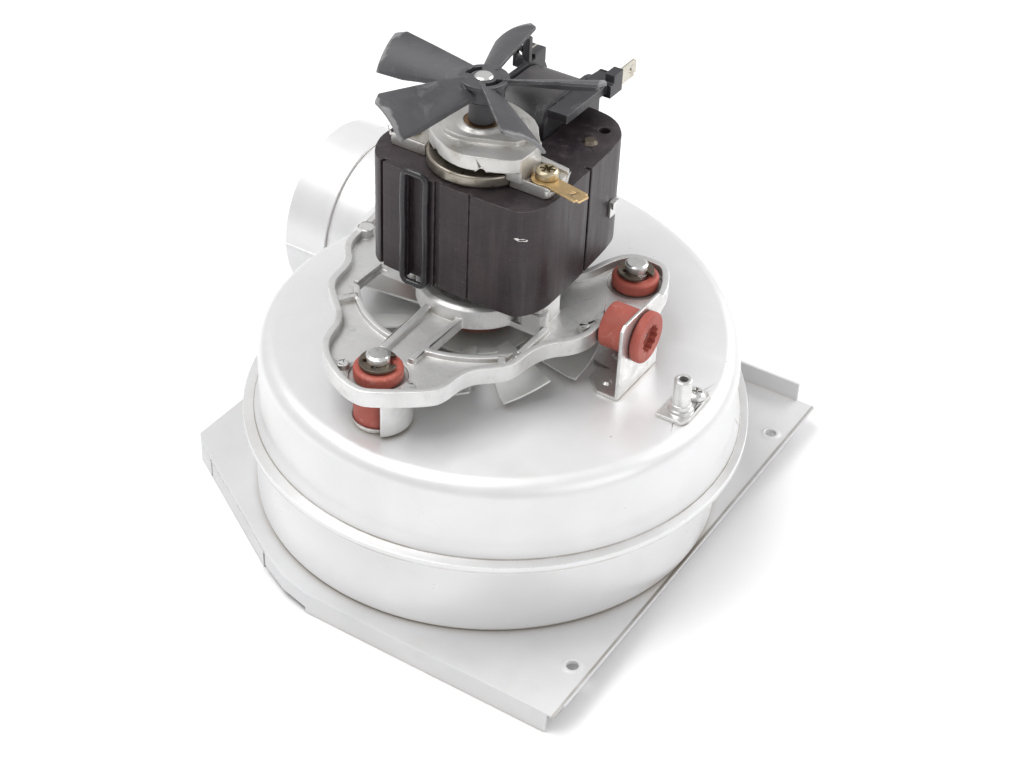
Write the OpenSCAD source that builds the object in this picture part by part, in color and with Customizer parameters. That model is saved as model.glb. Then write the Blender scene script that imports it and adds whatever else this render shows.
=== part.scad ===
// Combustion fan for a gas boiler: a spun aluminium volute on a folded base plate, driven by a
// shaded-pole motor on rubber mounts, with a sheet cooling fan below the motor and a plastic one
// above it. Millimetres. The origin is on the shaft axis at the underside of the base plate,
// +Z runs up the shaft, +X points to the base plate's right edge and the outlet blows to -X.

/* [Base plate] */
// Distance from the shaft to the right edge of the plate
plate_right = 86; // [70:1:110]
// Distance from the shaft to the front edge of the plate
plate_front = 84; // [70:1:110]
// Distance from the shaft to the rear edge of the plate
plate_rear = 105.6; // [90:0.2:130]
// Distance from the shaft to the left edge of the plate
plate_left = 93; // [80:0.5:120]
// Sheet thickness of the plate
plate_t = 1; // [0.6:0.1:2]
// Depth of the edges folded down below the plate's underside
flange_depth = 8; // [4:0.5:15]
// Diameter of the two fixing holes
plate_hole_d = 4; // [3:0.5:6]
// Spacing of the two fixing holes
plate_hole_span = 143.4; // [100:0.2:160]

/* [Volute casing] */
// Outer radius of the lower half's front
low_r = 81.5; // [60:0.5:110]
// Outer radius of the upper half's front
top_r = 82.2; // [60:0.2:110]
// Radius of the crimped seam
seam_r = 87.6; // [65:0.2:115]
// Height of the seam
seam_z = 34.2; // [20:0.2:50]
// Height of the casing's top face
case_top = 63; // [50:1:90]
// Sheet thickness of the casing
case_t = 0.8; // [0.5:0.1:1.5]
// Outer diameter of the outlet collar
outlet_d = 70; // [50:1:100]
// Diameter of the inlet
inlet_d = 60; // [40:1:80]

/* [Impeller] */
// Tip diameter of the impeller
impeller_d = 124; // [80:2:140]
// Number of impeller blades
impeller_blades_n = 12; // [6:1:24]

/* [Motor] */
// Shaft diameter
shaft_d = 6; // [4:0.5:10]
// Height of the shaft's upper end
shaft_top = 160.5; // [140:0.5:180]
// Height of the motor plate's floor
motor_floor = 80.4; // [75:0.2:90]
// Underside of the stator stack
stack_z = 90.7; // [85:0.1:100]
// Height of the stator stack
stack_h = 39.3; // [20:0.1:60]
// Rotor diameter
rotor_d = 33; // [20:0.5:36]

/* [Cooling fans] */
// Tip radius of the plastic fan on top of the motor
top_fan_r = 37.5; // [25:0.5:45]
// Number of blades of the plastic fan
top_fan_n = 5; // [3:1:9]
// Tip radius of the sheet metal fan under the motor
low_fan_r = 43.8; // [35:0.2:50]
// Number of blades of the sheet metal fan
low_fan_n = 10; // [6:1:14]

/* [Hidden] */
$fn = 72;

fit = 0.05;
shaft_r = shaft_d / 2;
bush_bore_r = shaft_r + 0.04;
low_c = [4.3, 3.3];
top_c = [6.5, 5.2];
seam_c = [6.3, 4.6];
scroll_angle = 22;
scroll_k = 36.1;
low_scroll_k = 35.2;
rim_round = 6;
foot_round = 1.6;
throat_end_x = -78;
outlet_y = 72.8;
outlet_z = 35;
outlet_r = outlet_d / 2;
outlet_tip_x = -112;
neck_x = -94;
neck_r = outlet_r - 1.45;
plate_hole_x = 79.6;
plate_hole_y = 9.45;
pins = [[0.7, -57.4], [41.5, 33.5], [-41.5, 33.5]];
pin_r = 3.75;
pin_top = 89;
grommet_r = 8.1;
rim_top = motor_floor + 3;
rim_bottom = motor_floor - 3;
floor_t = 2.2;
hub_ring_r = 20.5;
eye_r = inlet_d / 2 + 2.6;
window_r = 39;
stack_top = stack_z + stack_h;
bore_r = rotor_d / 2 + 0.6;
screw_x = 25.5;
screw_y = -2;
bracket_x = 57.5;
earth_turn = -12;
earth_t = 0.8;
side_axis = [6.8, 82];
nipple = [78.2, 0.8];
nipple_screw_at = [79.2, 9.6];
rivet_x = [22.4, -26.4];
rivet_y = 30;
coil_x0 = -11.5;
coil_x1 = 7.5;

// ---------- outlines and helpers ----------

// Unit vector at an angle.
function polar(a) = [cos(a), sin(a)];

// Corners of a closed outline, cut twice so that the outline turns in short steps.
function cut(p) = [for (i = [0 : len(p) - 1], s = [0.25, 0.75])
    p[i] + (p[(i + 1) % len(p)] - p[i]) * s];

// A closed counter-clockwise outline moved inwards by d.
function unit(v) = v / norm(v);
function normal(a, b) = [a.y - b.y, b.x - a.x] / norm(b - a);
function inset(p, d) = [for (i = [0 : len(p) - 1])
    let (n1 = normal(p[(i + len(p) - 1) % len(p)], p[i]), n2 = normal(p[i], p[(i + 1) % len(p)]))
    p[i] + (n1 + n2) * d / (1 + n1 * n2)];

module rod(a, b, r) {
    d = b - a;
    translate(a)
        rotate([0, acos(d.z / norm(d)), atan2(d.y, d.x)])
            cylinder(r = r, h = norm(d));
}

module tube(ro, ri, h) {
    difference() {
        cylinder(r = ro, h = h);
        translate([0, 0, -1]) cylinder(r = ri, h = h + 2);
    }
}

module rounded_rect(size, r) {
    translate([r, 0]) square([size.x - 2 * r, size.y]);
    translate([0, r]) square([size.x, size.y - 2 * r]);
    for (x = [r, size.x - r], y = [r, size.y - r]) translate([x, y]) circle(r);
}

// A ring with its two outer edges rounded, standing on z = 0.
module soft_ring(ro, ri, h, r) {
    rotate_extrude()
        difference() {
            translate([-ro, 0]) rounded_rect([2 * ro, h], r);
            translate([-ro - 1, -1]) square([ro + 1 + ri, h + 2]);
        }
}

module sector(r, a0, a1, h) {
    linear_extrude(h)
        polygon([[0, 0], for (i = [0 : 6]) r * polar(a0 + (a1 - a0) * i / 6)]);
}

// ---------- base plate ----------

plate_outline = [
    [plate_right, -plate_front], [plate_right, plate_rear], [-plate_left, plate_rear],
    [-plate_left, -39], [-90, -42.3], [-33, -76.3], [-22, -81.5], [-11, -plate_front]
];

// One edge folded down, from a to b along the outline, with the sheet on the inner side.
module fold_down(a, b, depth) {
    n = normal(a, b);
    translate([0, 0, -depth])
        linear_extrude(depth + 0.5)
            polygon([a, b, b + n * plate_t, a + n * plate_t]);
}

module screw_dimple() {
    translate([0, 0, plate_t - 0.02]) cylinder(r1 = 4.2, r2 = 3.2, h = 0.6);
}

module base_plate() {
    lip = 1.3;
    rear_fold_x = 32;
    color([0.80, 0.80, 0.81])
    difference() {
        union() {
            linear_extrude(plate_t) polygon(plate_outline);
            fold_down([-plate_left, 36], [-plate_left, -39], flange_depth);
            fold_down([-plate_left, -39], [-90, -42.3], flange_depth);
            fold_down([-90, -42.3], [-81, -47.65], flange_depth);
            fold_down([-80, -48.25], [-36, -74.5], flange_depth);
            fold_down([-34.5, -75.4], [-33, -76.3], flange_depth - 2.4);
            fold_down([-33, -76.3], [-22, -81.5], flange_depth - 2.4);
            fold_down([-22, -81.5], [-11, -plate_front], flange_depth - 2.4);
            fold_down([-11, -plate_front], [plate_right - 3, -plate_front], flange_depth);
            translate([rear_fold_x, plate_rear - plate_t, 0])
                cube([plate_right - rear_fold_x - 7, plate_t, 9]);
            translate([plate_right - 0.4, -plate_front + 5, 0])
                rotate([90, 0, 180])
                    linear_extrude(plate_front + plate_rear - 7)
                        polygon([[0, 0], [-lip, lip], [-lip, lip + plate_t], [0.4, plate_t]]);
            for (s = [-1, 1])
                translate([plate_hole_x, plate_hole_y + s * plate_hole_span / 2, 0]) screw_dimple();
        }
        translate([0, 0, -1]) cylinder(r = inlet_d / 2 + 3.2, h = 4);
        for (s = [-1, 1])
            translate([plate_hole_x, plate_hole_y + s * plate_hole_span / 2, -1])
                cylinder(d = plate_hole_d, h = 4);
        inlet_rivet_places() translate([0, 0, -1]) cylinder(r = 1.6, h = 4);
    }
}

// ---------- volute casing ----------

// The sector at the rear where the wider arc takes over from the front circle.
module scroll_sector(far) {
    reach = 300;
    translate([0, 0, -50])
        linear_extrude(200)
            polygon([
                far, far + reach * polar(scroll_angle), far + reach * polar(56), far + [0, reach]
            ]);
}

// A revolved front (child 0) that carries on at the rear as a wider arc, k larger (child 1).
module scroll(c, k) {
    far = c - k * polar(scroll_angle);
    difference() {
        translate(c) children(0);
        scroll_sector(far);
    }
    intersection() {
        translate(far) children(1);
        scroll_sector(far);
    }
}

// Plan of the throat that leads from the scroll to the round neck, counter-clockwise.
throat_plan = [
    [-25, 110], [throat_end_x, 107.6], [throat_end_x - 0.5, 52], [-76, 36], [-72.5, 20],
    [-70, 8], [-40, 0], [0, 40], [-20, 90]
];

// Half section of the upper half: flared foot, straight wall and rounded top edge.
module top_profile(r, shrink) {
    h = case_top - shrink;
    flare = 2.2;
    round_r = rim_round - shrink;
    polygon([
        [0, seam_z], [r + flare, seam_z], [r + flare, seam_z + 1], [r, seam_z + 6],
        for (a = [0 : 15 : 90]) [r - round_r, h - round_r] + round_r * polar(a),
        [0, h]
    ]);
}

module top_shape(shrink) {
    r = top_r - shrink;
    round_r = rim_round - shrink;
    scroll(top_c, scroll_k) {
        rotate_extrude($fn = 120) top_profile(r, shrink);
        rotate_extrude($fn = 180) top_profile(r + scroll_k, shrink);
    }
    for (a = [0 : 10 : 90])
        translate([0, 0, seam_z])
            linear_extrude(case_top - rim_round - seam_z + round_r * sin(a))
                polygon(inset(throat_plan, shrink + round_r * (1 - cos(a))));
}

module low_profile(r, shrink) {
    z0 = plate_t + fit + shrink;
    round_r = foot_round - shrink;
    polygon([[0, z0], [r - round_r, z0], [r - round_r * 0.3, z0 + round_r * 0.3], [r, z0 + round_r],
             [r, seam_z - 0.1], [0, seam_z - 0.1]]);
}

module low_shape(shrink) {
    r = low_r - shrink;
    z0 = plate_t + fit + shrink;
    scroll(low_c, low_scroll_k) {
        rotate_extrude($fn = 120) low_profile(r, shrink);
        rotate_extrude($fn = 180) low_profile(r + low_scroll_k, shrink);
    }
    translate([0, 0, z0])
        linear_extrude(seam_z - 0.1 - z0) polygon(inset(throat_plan, 1.6 + shrink));
}

// The round neck and its taper into the throat, run out by extra at the open end.
module neck(shrink, extra) {
    r = neck_r - shrink;
    translate([neck_x - 4, outlet_y, outlet_z])
        rotate([0, 90, 0])
            rotate_extrude()
                polygon([[0, -extra], [r, -extra], [r, 7], [r - 8, 50], [0, 50]]);
}

// The hollow of both halves, with the seam's slit bridged.
module casing_cavity() {
    top_shape(case_t);
    low_shape(case_t);
    translate([0, 0, seam_z - 3]) {
        linear_extrude(4) polygon(inset(throat_plan, 2.6));
        translate(low_c) cylinder(r = low_r - 1, h = 4, $fn = 120);
    }
    neck(case_t, 2);
}

module seam_ring(r, z, h) {
    translate([0, 0, z])
        scroll(seam_c, scroll_k) {
            cylinder(r = r, h = h, $fn = 120);
            cylinder(r = r + scroll_k, h = h, $fn = 180);
        }
}

module seam_tail(out, z, h) {
    translate([0, 0, z]) linear_extrude(h) polygon(inset(throat_plan, -out));
}

module neck_between(z0, z1) {
    intersection() {
        neck(0, 0);
        translate([-150, -150, z0]) cube([300, 300, z1 - z0]);
    }
}

module lower_casing() {
    color([0.82, 0.82, 0.83])
    difference() {
        union() {
            low_shape(0);
            neck_between(0, seam_z - 0.1);
            seam_ring(seam_r - 1.2, seam_z - 1, 0.9);
            seam_tail(3, seam_z - 1, 0.9);
        }
        casing_cavity();
        translate([0, 0, -1]) cylinder(r = inlet_d / 2 + 3.2, h = 6);
        inlet_rivet_places() cylinder(r = 1.6, h = 4);
    }
}

module upper_casing() {
    hem = 1.9;
    color([0.84, 0.84, 0.85])
    difference() {
        union() {
            top_shape(0);
            neck_between(seam_z, 100);
            seam_ring(seam_r, seam_z, 0.9);
            seam_tail(3, seam_z, 0.9);
            difference() {
                seam_ring(seam_r, seam_z - hem, hem);
                seam_ring(seam_r - 1, seam_z - hem - 1, hem + 1);
                seam_tail(6, seam_z - hem - 1, hem + 1);
            }
        }
        casing_cavity();
        cylinder(r = 9, h = 100);
        translate([nipple.x, nipple.y, 0]) cylinder(r = 1.5, h = 100);
        translate([nipple_screw_at.x, nipple_screw_at.y, 0]) cylinder(r = 1.75, h = 100);
        for (p = pins) translate([p.x, p.y, 0]) cylinder(r = 3, h = 100);
    }
}

module outlet_collar() {
    color([0.87, 0.87, 0.87])
    translate([outlet_tip_x, outlet_y, outlet_z])
        rotate([0, 90, 0])
            difference() {
                union() {
                    cylinder(r = outlet_r, h = 18.4, $fn = 120);
                    translate([-0.6, -outlet_r - 0.4, 0]) cube([1.2, 1, 18.4]);
                }
                translate([0, 0, -1]) cylinder(r = outlet_r - 0.8, h = 15, $fn = 120);
                translate([0, 0, 13]) cylinder(r = neck_r + fit, h = 10, $fn = 120);
            }
}

// ---------- inlet ----------

module inlet_rivet_places() {
    for (i = [0 : 5]) rotate([0, 0, 60 * i + 30]) translate([inlet_d / 2 + 8, 0, 0]) children();
}

module inlet_ring() {
    bell_r = inlet_d / 2;
    color([0.78, 0.79, 0.80])
    difference() {
        rotate_extrude()
            polygon([
                [bell_r, -3], [bell_r, 11], [bell_r + 1.2, 11], [bell_r + 1.2, -fit],
                [bell_r + 12, -fit], [bell_r + 12, -1.2], [bell_r + 3, -1.2],
                [bell_r + 6, -flange_depth + 0.9], [bell_r + 6, -flange_depth],
                [bell_r + 4.6, -flange_depth], [bell_r + 1.6, -5]
            ]);
        inlet_rivet_places() translate([0, 0, -5]) cylinder(r = 1.6, h = 10);
    }
}

module inlet_rivets() {
    color([0.70, 0.71, 0.72])
    inlet_rivet_places() {
        translate([0, 0, -1.2 - fit]) cylinder(r = 1.5, h = 3.4);
        translate([0, 0, -2.1]) cylinder(r1 = 2, r2 = 2.8, h = 0.85);
        translate([0, 0, plate_t + case_t + 2 * fit]) cylinder(r1 = 2.6, r2 = 1.8, h = 0.9);
    }
}

// ---------- impeller ----------

module impeller_disc() {
    color([0.74, 0.75, 0.76])
    translate([0, 0, 46])
        difference() {
            cylinder(r = impeller_d / 2, h = 1, $fn = 120);
            translate([0, 0, -1]) cylinder(r = 7, h = 3);
        }
}

module impeller_shroud() {
    color([0.74, 0.75, 0.76])
    rotate_extrude($fn = 120)
        polygon([
            [eye_r, 5], [eye_r + 1, 5], [eye_r + 1, 10], [eye_r + 5, 13.5],
            [impeller_d / 2, 18], [impeller_d / 2, 19], [eye_r + 4.6, 14.5], [eye_r, 10.4]
        ]);
}

// Backward-curved sheet blades between the disc and the shroud.
module impeller_blades() {
    curve_r = 46;
    color([0.70, 0.71, 0.73])
    difference() {
        for (i = [0 : impeller_blades_n - 1])
            rotate([0, 0, i * 360 / impeller_blades_n])
                translate([0, 0, 13])
                    linear_extrude(32.95)
                        intersection() {
                            translate([42, -36])
                                difference() {
                                    circle(curve_r, $fn = 96);
                                    circle(curve_r - 1, $fn = 96);
                                }
                            difference() {
                                circle(impeller_d / 2 - 0.5, $fn = 120);
                                circle(eye_r + 5.5);
                            }
                            translate([20, -10]) square([50, 40]);
                        }
        rotate_extrude($fn = 120)
            polygon([
                [0, 0], [70, 0], [70, 19.1], [impeller_d / 2, 19.1], [eye_r + 4.6, 14.6], [0, 14.6]
            ]);
    }
}

module impeller_hub() {
    color([0.66, 0.62, 0.52])
    difference() {
        union() {
            translate([0, 0, 28]) cylinder(r = 6.95, h = 24);
            translate([0, 0, 47 + fit]) cylinder(r = 13, h = 3);
            translate([0, 0, 43]) cylinder(r = 13, h = 3 - fit);
        }
        cylinder(r = shaft_r + 0.01, h = 60);
        translate([0, 0, 35]) rotate([0, 90, 0]) cylinder(r = 1.6, h = 10);
    }
}

// ---------- shaft and cooling fan under the motor ----------

module motor_shaft() {
    color([0.80, 0.81, 0.83]) {
        translate([0, 0, 27]) cylinder(r = shaft_r, h = shaft_top - 27.5);
        translate([0, 0, shaft_top - 0.5]) cylinder(r1 = shaft_r, r2 = shaft_r - 0.5, h = 0.5);
    }
}

module cooling_fan_hub() {
    color([0.72, 0.70, 0.62])
    difference() {
        union() {
            translate([0, 0, 65.5]) cylinder(r = 6.5, h = 5);
            translate([0, 0, 65.5]) cylinder(r = 9, h = 2);
        }
        cylinder(r = shaft_r + 0.01, h = 90);
    }
}

// Pitched blades cut from one sheet, joined by a flat disc at the hub.
module cooling_fan() {
    pitch = 17;
    blade = [[17, -4.4], [40, -8.8], [47, -8.8], [47, 8.6], [38, 7.6], [17, 4.4]];
    color([0.68, 0.71, 0.71]) {
        translate([0, 0, 67.6])
            difference() {
                cylinder(r = 20, h = 0.9);
                translate([0, 0, -1]) cylinder(r = 6.6, h = 3);
            }
        for (i = [0 : low_fan_n - 1])
            rotate([0, 0, -34 + i * 360 / low_fan_n])
                intersection() {
                    translate([0, 0, 68.1])
                        rotate([pitch, 0, 0])
                            linear_extrude(0.8, center = true) polygon(blade);
                    translate([0, 0, 60]) cylinder(r = low_fan_r, h = 20, $fn = 120);
                }
    }
}

module seal_plate() {
    color([0.76, 0.77, 0.78])
    translate([0, 0, case_top + fit])
        difference() {
            cylinder(r = 14, h = 1);
            translate([0, 0, -1]) cylinder(r = shaft_r + 0.4, h = 3);
        }
}

// ---------- rubber mounts ----------

module mounting_pins() {
    color([0.80, 0.80, 0.80])
    for (p = pins)
        translate([p.x, p.y, 0])
            difference() {
                union() {
                    translate([0, 0, case_top - 2]) cylinder(r = 2.9, h = 4);
                    translate([0, 0, case_top + fit]) cylinder(r = pin_r, h = pin_top - case_top - 0.6);
                    translate([0, 0, pin_top - 0.6]) cylinder(r1 = pin_r, r2 = pin_r - 0.6, h = 0.6);
                }
                translate([0, 0, 85.15])
                    difference() {
                        cylinder(r = 5, h = 1.1);
                        cylinder(r = 3, h = 1.1);
                    }
            }
}

module cup_washers() {
    color([0.82, 0.82, 0.81])
    for (p = pins)
        translate([p.x, p.y, case_top + fit])
            difference() {
                cylinder(r1 = 8, r2 = 8.9, h = 2.4);
                translate([0, 0, 1]) cylinder(r = grommet_r + 0.1, h = 2);
                translate([0, 0, -1]) cylinder(r = pin_r + 0.05, h = 4);
            }
}

module grommets() {
    color([0.72, 0.27, 0.20])
    for (p = pins)
        translate([p.x, p.y, 0])
            difference() {
                union() {
                    translate([0, 0, case_top + 1.1])
                        soft_ring(grommet_r, 3, motor_floor - floor_t - case_top - 1.2, 0.6);
                    translate([0, 0, 70]) cylinder(r = 6.5, h = 12);
                    translate([0, 0, motor_floor - 0.55]) soft_ring(8, 3, 4.6, 1.2);
                }
                cylinder(r = pin_r + 0.05, h = 100);
                translate([0, 0, motor_floor + 3.1]) cylinder(r1 = 4, r2 = 5.2, h = 1.2);
            }
}

module e_clips() {
    color([0.36, 0.34, 0.30])
    for (i = [0 : 2])
        translate([pins[i].x, pins[i].y, 85.2])
            rotate([0, 0, [35, -20, 200][i]])
                difference() {
                    cylinder(r = 6.2, h = 1);
                    translate([0, 0, -1]) cylinder(r = 3.05, h = 3);
                    translate([0, -2.3, -1]) cube([8, 4.6, 3]);
                    for (a = [110, 180, 250])
                        rotate([0, 0, a]) translate([3.9, 0, -1]) cylinder(r = 0.9, h = 3);
                }
}

// ---------- motor plate ----------

// Counter-clockwise from the front arm, round the right arm, the coil recess and the left arm.
motor_outline = [
    [-6.9, -68.9], [1.3, -71], [6.4, -69.6], [21.4, -58.6], [23.7, -53.6], [23.9, -46.3],
    [26.2, -41], [31.9, -36.3], [34.9, -31.4], [35.4, -22.9], [37.8, -15.8], [43.2, -10.5],
    [46, -4.9], [46.3, 1], [46.3, 14.6], [47.6, 16.2], [54.6, 17], [55.6, 21], [55.2, 27],
    [53.9, 34.2], [49.6, 42.8], [46.2, 45.9], [41.1, 46.4], [35.1, 45.7], [31.4, 42.6],
    [28.4, 36.9], [26, 28], [22, 22.5], [15, 20.6], [-15, 20.6], [-22, 22.5], [-26, 28],
    [-28.4, 36.9], [-31.4, 42.6], [-35.1, 45.7], [-41.1, 46.4], [-46.2, 45.9], [-49.6, 42.8],
    [-53.9, 34.2], [-55.2, 25.4], [-53, 15], [-51.6, 5.9], [-51, -3.6], [-48.4, -9.2],
    [-42.6, -15.5], [-41.6, -26.6], [-38.1, -31.9], [-32.7, -36.8], [-25.6, -43.4],
    [-23.5, -53.3], [-21.3, -57.6], [-16.7, -62.8]
];
motor_edge = cut(cut(motor_outline));

module motor_window(side) {
    intersection() {
        difference() {
            circle(window_r, $fn = 96);
            circle(hub_ring_r);
        }
        translate([side > 0 ? 6.8 : -33, -window_r]) square([side > 0 ? 24 : 25, window_r - 9.2]);
    }
}

module floor_rib(a, b, w) {
    n = normal(a, b) * w / 2;
    translate([0, 0, motor_floor - 0.5])
        linear_extrude(2.4) polygon([a - n, b - n, b + n, a + n]);
}

module window_ribs() {
    intersection() {
        translate([0, 0, motor_floor - 0.5])
            linear_extrude(2.2)
                difference() {
                    circle(window_r + 2.2, $fn = 96);
                    circle(window_r, $fn = 96);
                }
        union() {
            translate([4.6, -50, 70]) cube([25.4, 26, 20]);
            translate([-35, -50, 70]) cube([28.4, 27, 20]);
        }
    }
    floor_rib([-6.6, -18], [-5.2, -47], 2.6);
    floor_rib([5.7, -19], [5.7, -47], 2.2);
    floor_rib([31.9, -7.6], [31.9, -24.4], 2.2);
    floor_rib([28.4, -29], [31.6, -35], 2.4);
    floor_rib([-28.8, -28], [-33.4, -33.6], 2.4);
    floor_rib([-34.1, -8], [-34.1, -22], 2);
}

module stack_pillars() {
    for (s = [-1, 1])
        translate([s * 24.5, 0, motor_floor - 0.1]) {
            linear_extrude(stack_z - motor_floor + 0.05)
                translate([-5, -8]) rounded_rect([10, 14], 2.5);
            translate([s * 2, -6.5, 0]) cylinder(r = 4.4, h = 6);
        }
}

// Half-round shields that hang beside the front mount.
module mount_shields() {
    translate([pins[0].x, pins[0].y, case_top + 1])
        intersection() {
            tube(11, 9.3, motor_floor - floor_t - case_top);
            union() {
                sector(14, -52, 62, 20);
                translate([0, 0, 6]) sector(14, 168, 208, 20);
            }
        }
}

module motor_plate() {
    color([0.70, 0.70, 0.70])
    difference() {
        union() {
            translate([0, 0, motor_floor - floor_t]) linear_extrude(floor_t) polygon(motor_edge);
            translate([0, 0, rim_bottom])
                linear_extrude(rim_top - rim_bottom)
                    difference() {
                        polygon(motor_edge);
                        polygon(inset(motor_edge, 2.4));
                    }
            translate([0, 0, motor_floor - 0.5])
                rotate_extrude()
                    polygon([[0, 0], [hub_ring_r, 0], [hub_ring_r, 5], [hub_ring_r - 1.6, 6.2],
                             [hub_ring_r - 4, 6.2], [hub_ring_r - 6, 4], [0, 4]]);
            translate([0, 0, 73]) cylinder(r = 12.5, h = 8);
            window_ribs();
            stack_pillars();
            mount_shields();
            translate([-10.5, -60.7, motor_floor - 0.5]) cylinder(r = 1.9, h = 2.6);
            translate([11.6, -58.6, motor_floor - 0.5]) cylinder(r = 3.4, h = 1.4);
            translate([41, 0.6, motor_floor - 0.5]) cylinder(r = 1.8, h = 2.4);
            translate([-49.4, 5, rim_bottom]) cylinder(r = 3, h = rim_top - rim_bottom + 0.4);
            translate([44, side_axis.x, side_axis.y]) rotate([0, 90, 0]) cylinder(r = 3.2, h = 15.5);
            translate([43, side_axis.x - 3.2, motor_floor - 0.5]) cube([3.3, 6.4, 4.9]);
        }
        translate([0, 0, motor_floor - 10])
            linear_extrude(20) {
                motor_window(1);
                motor_window(-1);
            }
        cylinder(r = 6 + fit, h = 100);
        for (s = [-1, 1])
            translate([s * screw_x, screw_y, motor_floor + 1.9]) cylinder(r = 1.9, h = 20);
        for (p = pins) {
            translate([p.x, p.y, 70]) cylinder(r = 6.55, h = 20);
            translate([p.x, p.y, motor_floor - 0.6]) cylinder(r = 9.4, h = 3);
        }
    }
}

module bush(z0, h) {
    translate([0, 0, z0])
        difference() {
            cylinder(r = 6, h = h);
            translate([0, 0, -1]) cylinder(r = bush_bore_r, h = h + 2);
        }
}

module lower_bush() {
    color([0.66, 0.52, 0.36]) bush(73, 11);
}

module bearing_cap() {
    color([0.55, 0.30, 0.24])
    translate([0, 0, 71.8]) tube(13, shaft_r + 0.3, 1.2 - fit);
}

// ---------- motor ----------

module rotor_core() {
    color([0.42, 0.42, 0.43])
    translate([0, 0, stack_z + 3]) tube(rotor_d / 2, shaft_r + 0.01, stack_h - 6);
}

module rotor_end_rings() {
    color([0.76, 0.77, 0.78])
    for (z = [stack_z + 0.5, stack_top - 3 + fit])
        translate([0, 0, z]) tube(rotor_d / 2, 9, 2.5 - fit);
}

stack_outline = [
    [-23, -19.8], [22, -19.8], [27.5, -19], [31.8, -11], [31.8, 0], [31.4, 14], [30.2, 34.5],
    [28.2, 41.5], [21.4, 48.6], [11, 50.4], [-16, 50.4], [-27, 49], [-33.4, 42], [-34.8, 35],
    [-34.8, 0], [-34.6, -8], [-30, -17]
];

module stator_stack() {
    color([0.17, 0.15, 0.15])
    translate([0, 0, stack_z])
        linear_extrude(stack_h)
            difference() {
                polygon(cut(cut(stack_outline)));
                circle(bore_r);
                translate([coil_x0 - 2, 22]) square([coil_x1 - coil_x0 + 4, 9]);
                translate([coil_x0 - 2, 44]) square([coil_x1 - coil_x0 + 4, 20]);
                translate([-14.6, -22]) square([6, 4]);
                translate([-4.6, -22]) square([2.2, 3.4]);
                translate([29, 15.2]) square([5, 1.2]);
                translate([-27.8, -22]) rotate(-25) square([1.2, 6]);
                translate([8.2, -22]) square([0.8, 2.9]);
                for (s = [-1, 1]) translate([s * screw_x, screw_y]) circle(1.9);
                for (x = rivet_x) {
                    translate([x, rivet_y]) circle(1.7);
                    translate([x, rivet_y + 9.4]) circle(1.9);
                }
            }
}

// A lacquered copper loop round the shaded part of the front pole.
module shading_rings() {
    wire = 1.1;
    loop_x = [-15.6, -7.1];
    loop_y = -21;
    loop_z = [stack_z - 0.9, stack_top + 1.3];
    color([0.12, 0.11, 0.11]) {
        for (x = loop_x) rod([x, loop_y, loop_z[0]], [x, loop_y, loop_z[1]], wire);
        for (z = loop_z) rod([loop_x[0], loop_y, z], [loop_x[1], loop_y, z], wire);
        for (x = loop_x, z = loop_z) translate([x, loop_y, z]) sphere(wire);
    }
}

module stack_rivets() {
    color([0.35, 0.34, 0.34])
    for (x = rivet_x)
        translate([x, rivet_y, 0]) {
            translate([0, 0, stack_top + fit]) cylinder(r1 = 2.6, r2 = 1.8, h = 1);
            translate([0, 0, stack_z - 1 - fit]) cylinder(r1 = 1.8, r2 = 2.6, h = 1);
            translate([0, 0, stack_z - 0.2]) cylinder(r = 1.65, h = stack_h + 0.4);
        }
}

module coil_block(x0, x1, ylo, yhi, zlo, zhi, r) {
    translate([x0, ylo, zlo])
        rotate([90, 0, 90])
            linear_extrude(x1 - x0) rounded_rect([yhi - ylo, zhi - zlo], r);
}

module leg_opening(grow) {
    translate([-30, 31 - grow, stack_z - grow]) cube([60, 13 + 2 * grow, stack_h + 2 * grow]);
}

module coil_winding() {
    color([0.13, 0.12, 0.13])
    difference() {
        coil_block(coil_x0 + fit, coil_x1 - fit, 23.4, 58, 83.5, 140, 13);
        leg_opening(1.6);
    }
}

module coil_bobbin() {
    color([0.10, 0.10, 0.11])
    difference() {
        union() {
            coil_block(coil_x0 - 1.8, coil_x0, 22.4, 59, 82.5, 141, 10);
            coil_block(coil_x1, coil_x1 + 1.8, 22.4, 59, 82.5, 141, 10);
            coil_block(coil_x0, coil_x1, 29.5, 45.5, stack_z - 1.5, stack_top + 1.5, 0.5);
            translate([coil_x1 + 1.7, 24, 137.5]) cube([7.5, 34, 3]);
            translate([coil_x1 + 1.7, 49, 136]) cube([9.2, 8, 4.6]);
            translate([coil_x1 + 7.3, 51, 136]) cube([3.6, 6, 7.6]);
            translate([coil_x0 - 5.4, 50, 135.6]) cube([5.4, 7, 7]);
            translate([coil_x0 - 6.4, 46, 138]) cube([6.4, 2, 12]);
        }
        leg_opening(0.1);
        translate([coil_x1 + 8.7, 52, 135]) cube([1, 10, 7.8]);
        translate([coil_x0 - 4.1, 50.9, 135]) cube([1, 10, 7.8]);
        for (z = [143.2, 147])
            translate([coil_x0 - 3.9, 45, z]) rotate([-90, 0, 0]) cylinder(r = 1.1, h = 4);
    }
}

module spade(length) {
    difference() {
        union() {
            cube([0.8, length - 1.2, 6.3]);
            translate([0, length - 1.3, 1]) cube([0.8, 1.3, 4.3]);
        }
        translate([-1, length - 4, 3.15]) rotate([0, 90, 0]) cylinder(r = 0.85, h = 3);
    }
}

module coil_terminals() {
    color([0.72, 0.70, 0.62]) {
        translate([coil_x1 + 8.8, 52.4, 136.3]) spade(16);
        translate([coil_x0 - 4, 51.2, 136.2]) spade(7);
    }
}

// ---------- top of the motor ----------

module bearing_ring() {
    color([0.62, 0.58, 0.48])
    translate([0, 0, stack_top + fit]) soft_ring(17.6, 11, 4.2, 0.9);
}

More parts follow.
